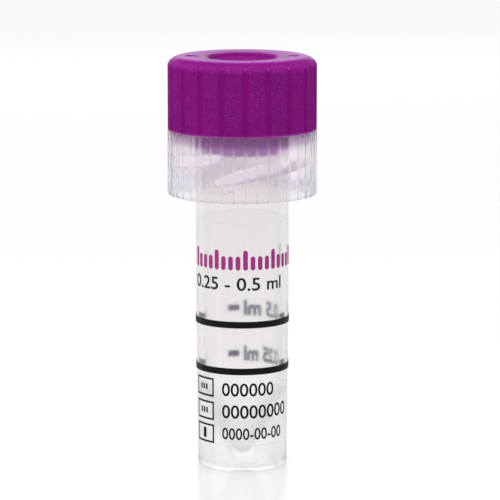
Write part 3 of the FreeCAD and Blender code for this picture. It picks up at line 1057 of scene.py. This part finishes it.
def back_volume(name, text, node):
    """A line's volume, centred on the line's height, and the dash before the line starts."""
    low, high = box_mm(node)
    middle = (low.z + high.z) / 2
    return rolled(name, blue_ink, [
        words(text, BACK_LEFT, middle - BACK_HIGH / 2, BACK_WIDE, BACK_HIGH, BACK_WEIGHT),
        slab([bar(DASH_LEFT, middle - DASH_HIGH / 2, DASH_WIDE, DASH_HIGH)]),
    ])


back_volume("upper_volume", "0.5 ml", "fill_line_upper")
back_volume("lower_volume", "0.25 ml", "fill_line_lower")

# %% [markdown]
# ## The shell
#
# The shell is a purple cup with a round hole through its top. Its shoulder is a flat
# curve, wider than it is high, and from there the top dips slightly towards the hole.
# Twenty shallow grooves run up its side and stop below the shoulder, where their ends
# get a painted highlight. They are cut into the turned shape by its carve function.

# %% Measure the shell
shell_low, shell_high = box_mm("cap_shell")
CAP_TOP = shell_high.z
SHELL_LOW = shell_low.z
SHELL_RADIUS = 7.8
SHELL_WALL = 0.8
SHELL_TOP = 1.05
SHELL_EDGE = 0.12
SHELL_EDGE_ROUND = 0.03
SHOULDER_HIGH = 1.02
SHOULDER_WIDE = 1.5
DISH_DROP = 0.10
TOP_HOLE = 3.5
HOLE_EDGE = 0.45
GROOVE_COUNT = 20
GROOVE_HALF_WIDTH = 0.36
GROOVE_DEPTH = 0.09
GROOVE_STOP = CAP_TOP - 0.72
FIRST_GROOVE = 2.5
SHELL_CRISP = 50
print("shell from", round(SHELL_LOW, 2), "to", round(CAP_TOP, 2))


# %% Grooves and flutes
def from_nearest(angles, count, radius):
    """Distance along the surface, in millimetres, to the nearest of evenly spaced lines."""
    pitch = 360 / count
    turn = (angles - FIRST_GROOVE + pitch / 2) % pitch - pitch / 2
    return np.abs(np.radians(turn)) * radius


def scoop(distance, half_width):
    """1 at the middle of a scooped groove, 0 at its edges and beyond."""
    return np.clip(1 - (distance / half_width) ** 2, 0, 1)


def grooves(count, outside, skin, half_width, depth, stop=math.inf):
    """A carve function that cuts upright grooves into the outer skin, up to a stop."""
    def carve(angles, radius, height):
        radii = np.full(len(angles), float(radius))
        if radius > outside - skin and height <= stop:
            share = scoop(from_nearest(angles, count, outside), half_width)
            radii = np.minimum(radii, outside - depth * share)
        return radii
    return carve


# %% Build the shell
inside = SHELL_RADIUS - SHELL_WALL
shoulder_start = SHELL_RADIUS - SHOULDER_WIDE
shoulder_low = CAP_TOP - SHOULDER_HIGH
plate_high = CAP_TOP - SHELL_TOP
lip_low = CAP_TOP - DISH_DROP
# The curve has a point on each side of the grooves' stop, so they end crisply.
stop_turn = math.degrees(math.asin((GROOVE_STOP - shoulder_low) / SHOULDER_HIGH))
curve = arc(0, 0, 1, 0, stop_turn - 0.1, 5) + arc(0, 0, 1, stop_turn + 1, 90, 15)
shell_section = (
    [(inside, SHELL_LOW), (SHELL_RADIUS - SHELL_EDGE, SHELL_LOW),
     (SHELL_RADIUS - SHELL_EDGE_ROUND, SHELL_LOW + SHELL_EDGE_ROUND)]
    + steps_between((SHELL_RADIUS, SHELL_LOW + SHELL_EDGE), (SHELL_RADIUS, shoulder_low), 5)
    + [(shoulder_start + SHOULDER_WIDE * x, shoulder_low + SHOULDER_HIGH * y)
       for x, y in curve]
    + arc(TOP_HOLE + HOLE_EDGE, lip_low - HOLE_EDGE, HOLE_EDGE, 90, 180, 6)
    + [(TOP_HOLE, plate_high), (inside, plate_high)]
)
carve = grooves(GROOVE_COUNT, SHELL_RADIUS, SHELL_WALL / 2, GROOVE_HALF_WIDTH,
                GROOVE_DEPTH, GROOVE_STOP)
shell = turned("purple_shell", shell_section, around=800, carve=carve, crisp=SHELL_CRISP)

# %% [markdown]
# Two shallow round dimples in the top are marks of the mould. We press them in with two
# discs. Their walls are nearly upright: where they sloped, the dimples seemed to fade
# into square patches.

# %% Press the two dimples
DIMPLE_RADIUS = 0.7
DIMPLE_DEPTH = 0.10
DIMPLE_DRAFT = 0.02
DIMPLE_INSET = 2.55
CUT_PAST = 0.1

dimple_section = [
    (0, CAP_TOP - DIMPLE_DEPTH), (DIMPLE_RADIUS - DIMPLE_DRAFT, CAP_TOP - DIMPLE_DEPTH),
    (DIMPLE_RADIUS, CAP_TOP), (DIMPLE_RADIUS, CAP_TOP + CUT_PAST), (0, CAP_TOP + CUT_PAST),
]
dimples = []
for side in (-1, 1):
    dimple = turned(f"dimple_{side}", dimple_section, around=48)
    aside = side * (SHELL_RADIUS - DIMPLE_INSET) * MM
    dimple.data.transform(Matrix.Translation((aside, 0, 0)))
    dimples.append(dimple)
merged(shell, dimples, "DIFFERENCE", SHELL_CRISP)

# %% [markdown]
# The shell's material needs to know three places that its mesh alone can tell: the
# textured panels between the grooves, the upper ends of the grooves, and the ring where
# the top starts to dip, which both get a painted highlight. We store a value for each.

# %% Mark the shell's panels, groove ends and brow
PANEL_BLEND = 0.15
PANEL_PAST_STOP = 0.6
END_HALF_WIDTH = GROOVE_HALF_WIDTH * 0.6
END_ABOVE_STOP = 0.08
END_HALF_HIGH = 0.24
BROW_RADIUS = 6.5
BROW_HALF_WIDE = 0.7

angles, radii, heights = places_of(shell)
distance = from_nearest(angles, GROOVE_COUNT, SHELL_RADIUS)
panel = np.clip((distance - GROOVE_HALF_WIDTH) / PANEL_BLEND + 0.5, 0, 1)
panel *= radii > SHELL_RADIUS - SHELL_WALL / 2
panel *= heights < GROOVE_STOP + PANEL_PAST_STOP
ends = scoop(distance, END_HALF_WIDTH) * (radii > shoulder_start)
ends *= scoop(heights - GROOVE_STOP - END_ABOVE_STOP, END_HALF_HIGH)
store(shell, "panel", panel)
store(shell, "groove_end", ends)
store(shell, "brow", scoop(radii - BROW_RADIUS, BROW_HALF_WIDE) * (heights > lip_low))
dress(shell, "cap", shell_plastic, ["cap_shell"])

# %% [markdown]
# ## The clear skirt
#
# Below the shell shows a clear ring with forty flutes. Inside the cap it narrows to a
# sleeve that carries the shell, and its plate presses the stopper down. Three lugs on
# its inside sit under the tube's ramps.
#
# It narrows by a slope, not by a flat step. Light that meets the underside of a flat step
# can't leave the plastic, and the step would show as a black ring.

# %% Measure the skirt
skirt_low, skirt_high = box_mm("cap_skirt")
SKIRT_LOW = skirt_low.z
SKIRT_RADIUS = 7.84
SKIRT_WALL = 0.7
SKIRT_BORE = SKIRT_RADIUS - SKIRT_WALL
SKIRT_EDGE = 0.2
SKIRT_TOP_EDGE = 0.03
SLEEVE_RADIUS = 6.95
SLEEVE_BORE = 6.15
SLOPE_LOW = SHELL_LOW - 1.1
# The slope from the skirt's bore up to the sleeve's, as radii and rises.
SLOPE = ((SLEEVE_BORE, 2.0), (SLEEVE_BORE + 0.1, 1.8), (SKIRT_BORE - 0.36, 1.2),
         (SKIRT_BORE, 0.0))
PLATE_LOW = plate_high - 1.0
PLATE_HOLE = 3.9
FLUTE_COUNT = 40
FLUTE_HALF_WIDTH = 0.19
FLUTE_DEPTH = 0.035
FLUTED_SKIN = 0.35
print("skirt from", round(SKIRT_LOW, 2), "to", round(skirt_high.z, 2))

# %% Build the skirt
skirt_section = (
    [(SKIRT_BORE, SKIRT_LOW)]
    + arc(SKIRT_RADIUS - SKIRT_EDGE, SKIRT_LOW + SKIRT_EDGE, SKIRT_EDGE, -90, 0, 6)
    + [(SKIRT_RADIUS, SHELL_LOW - SKIRT_TOP_EDGE), (SKIRT_RADIUS - SKIRT_TOP_EDGE, SHELL_LOW),
       (SLEEVE_RADIUS, SHELL_LOW), (SLEEVE_RADIUS, plate_high), (PLATE_HOLE, plate_high),
       (PLATE_HOLE, PLATE_LOW), (SLEEVE_BORE, PLATE_LOW)]
    + [(radius, SLOPE_LOW + up) for radius, up in SLOPE]
)
carve = grooves(FLUTE_COUNT, SKIRT_RADIUS, FLUTED_SKIN, FLUTE_HALF_WIDTH, FLUTE_DEPTH)
skirt = turned("clear_skirt", skirt_section, around=960, carve=carve)

# %% [markdown]
# The lugs are short ridges with the same lead as the ramps, just below the ramps' low
# ends, where the cap stands when it is shut. They are merged into the skirt, and their
# faces, which stand out into the bore, get the soft plastic.

# %% Add the lugs and mark the flutes
LUG_ARC = 18.0
LUG_GAP = 0.1
LUG_THICK = 0.75
LUG_REACH = 0.85
LUG_ROOT = 0.35
LUG_CLEAR = 0.02
BELOW_SLOPE = 0.05

lugs = [
    ridge(f"lug_{n + 1}", SKIRT_BORE + LUG_ROOT, SKIRT_BORE - LUG_REACH,
          RAMP_LOW - LUG_GAP - LUG_THICK, LUG_THICK, RAMP_LEAD,
          RAMP_START + n * 360 / RAMP_COUNT, LUG_ARC, steps=36, tip=0.8, bevel=0.25)
    for n in range(RAMP_COUNT)
]
merged(skirt, lugs)
angles, radii, heights = places_of(skirt)
flute = scoop(from_nearest(angles, FLUTE_COUNT, SKIRT_RADIUS), FLUTE_HALF_WIDTH)
store(skirt, "flute", flute * (radii > SKIRT_RADIUS - FLUTED_SKIN))
dress(skirt, "cap", clear_plastic, ["cap_skirt"])
second_finish(skirt, lug_plastic, lambda radius, height: (
    radius < SKIRT_BORE - LUG_CLEAR and height < SLOPE_LOW - BELOW_SLOPE))

# %% [markdown]
# ## The stopper
#
# The rubber stopper has a plug in the bore, a flange on the rim and a dished hub in the
# hole of the cap, slit crosswise for the sampling tip. Rubber squeezed against clear
# plastic leaves no air between them, and then the wall magnifies it to its full width.
# So the plug is turned a hair wider than the bore.

# %% Build the stopper
stopper_low, stopper_high = box_mm("stopper")
PLUG_LOW = stopper_low.z
PLUG_SQUEEZE = 0.02
PLUG_RADIUS = TUBE_BORE + PLUG_SQUEEZE
PLUG_TAPER = 0.5
POCKET_RADIUS = 2.6
FLANGE_RADIUS = stopper_high.x
FLANGE_LOW = RIM_HEIGHT + 0.05
FLANGE_HIGH = FLANGE_LOW + 1.2
HUB_GAP = 0.1
HUB_RADIUS = TOP_HOLE - HUB_GAP
HUB_HIGH = stopper_high.z
HUB_EDGE = 0.15
DISH_DEPTH = 0.7
MEMBRANE = 0.9
SLIT_LONG = 3.2
SLIT_WIDE = 0.08
SLIT_DEEP = 2 * MEMBRANE + 1

ceiling = HUB_HIGH - DISH_DEPTH - MEMBRANE
stopper_section = (
    [(POCKET_RADIUS, PLUG_LOW), (PLUG_RADIUS - PLUG_TAPER / 2, PLUG_LOW),
     (PLUG_RADIUS, PLUG_LOW + PLUG_TAPER), (PLUG_RADIUS, FLANGE_LOW),
     (FLANGE_RADIUS, FLANGE_LOW), (FLANGE_RADIUS, FLANGE_HIGH), (HUB_RADIUS, FLANGE_HIGH)]
    + arc(HUB_RADIUS - HUB_EDGE, HUB_HIGH - HUB_EDGE, HUB_EDGE, 0, 90, 4)
    + [(0, HUB_HIGH - DISH_DEPTH), (0, ceiling), (POCKET_RADIUS, ceiling)]
)
stopper = turned("rubber_stopper", stopper_section, around=192)

# %% Slit the stopper and dress it
CORNERS = ((-1, -1), (1, -1), (1, 1), (-1, 1))

slits = []
for turn in (0, 90):
    along = np.radians(turn)
    ends = [(x * SLIT_LONG / 2, y * SLIT_WIDE / 2) for x, y in CORNERS]
    blade = [[(x * math.cos(along) - y * math.sin(along),
               x * math.sin(along) + y * math.cos(along),
               ceiling + MEMBRANE + up * SLIT_DEEP / 2) for x, y in ends] for up in (-1, 1)]
    slits.append(swept(f"slit_{turn}", np.array(blade), closed=False))
merged(stopper, slits, "DIFFERENCE")
dress(stopper, "stopper", stopper_rubber, ["stopper"])

# %% [markdown]
# ## The floor
#
# A wide pale floor with a faint gloss. To the camera it is mixed with plain white, so
# that it runs into the background without a horizon and still keeps a soft shadow.

# %% Build the floor
FLOOR_REACH = 3.0
WHITE_SHARE = 0.4

floor_mesh = bpy.data.meshes.new("floor")
floor_mesh.from_pydata(
    [(x * FLOOR_REACH, y * FLOOR_REACH, 0) for x, y in CORNERS], [], [(0, 1, 2, 3)])
floor = bpy.data.objects.new("floor", floor_mesh)
scene.collection.objects.link(floor)
floor_paint, tree, shader = new_material(
    "floor_paint", Base_Color=(0.838, 0.838, 0.845, 1), Roughness=0.22, Specular_IOR_Level=0.5)
path = add_node(tree, "LightPath").outputs
seen = combine(tree, "MAXIMUM", path["Is Camera Ray"], path["Is Transmission Ray"])
white = add_node(tree, "Emission", Color=(1, 1, 1, 1), Strength=1.0)
mixed = add_node(tree, "MixShader", Fac=combine(tree, "MULTIPLY", seen, WHITE_SHARE))
plug(tree, mixed.inputs[1], shader.outputs["BSDF"])
plug(tree, mixed.inputs[2], white.outputs[0])
feed(tree, tree.nodes["Material Output"], Surface=mixed.outputs[0])
floor_mesh.materials.append(floor_paint)
print("floor reaches", FLOOR_REACH, "m each way")
